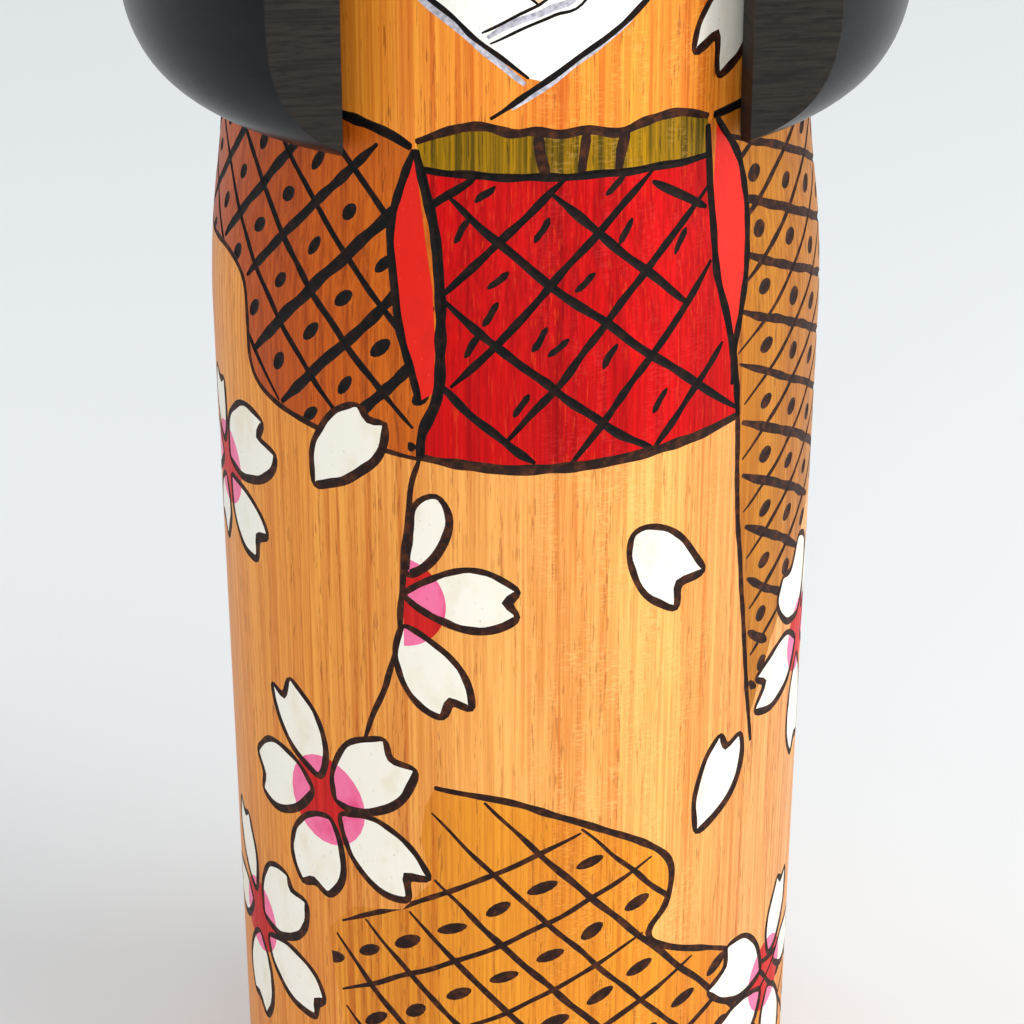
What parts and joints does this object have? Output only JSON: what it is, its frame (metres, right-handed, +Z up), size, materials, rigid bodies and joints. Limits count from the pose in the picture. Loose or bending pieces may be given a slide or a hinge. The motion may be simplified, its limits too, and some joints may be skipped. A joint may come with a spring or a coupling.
{
  "type": "kokeshi doll",
  "caption": "Turned wooden doll: straight painted body, pale face core and a black bobbed hair shell that turns on a neck peg.",
  "frame": {"origin": "centre of the flat base, on the surface the doll stands on", "axes": "+Z up along the turning axis, the doll faces -Y, +X is on the viewer's right"},
  "size_m": [0.0884, 0.0792, 0.222],
  "materials": {
    "body_wood": "burnt line drawing, translucent dye and gloss varnish",
    "peg_wood": "bare turned wood",
    "face_wood": "pale wood with a painted face, satin varnish",
    "hair_lacquer": "satin black stain, matt where it is sawn flat"
  },
  "bodies": {
    "figure": {"body": "body_wood", "neck_peg": "peg_wood"},
    "head": {"head_core": "face_wood", "hair_bob": "hair_lacquer"}
  },
  "joints": [
    {"name": "head_turn", "type": "hinge", "parent": "figure", "child": "head", "pos_m": [0, 0, 0.17], "axis": [0, 0, 1], "continuous": true}
  ]
}
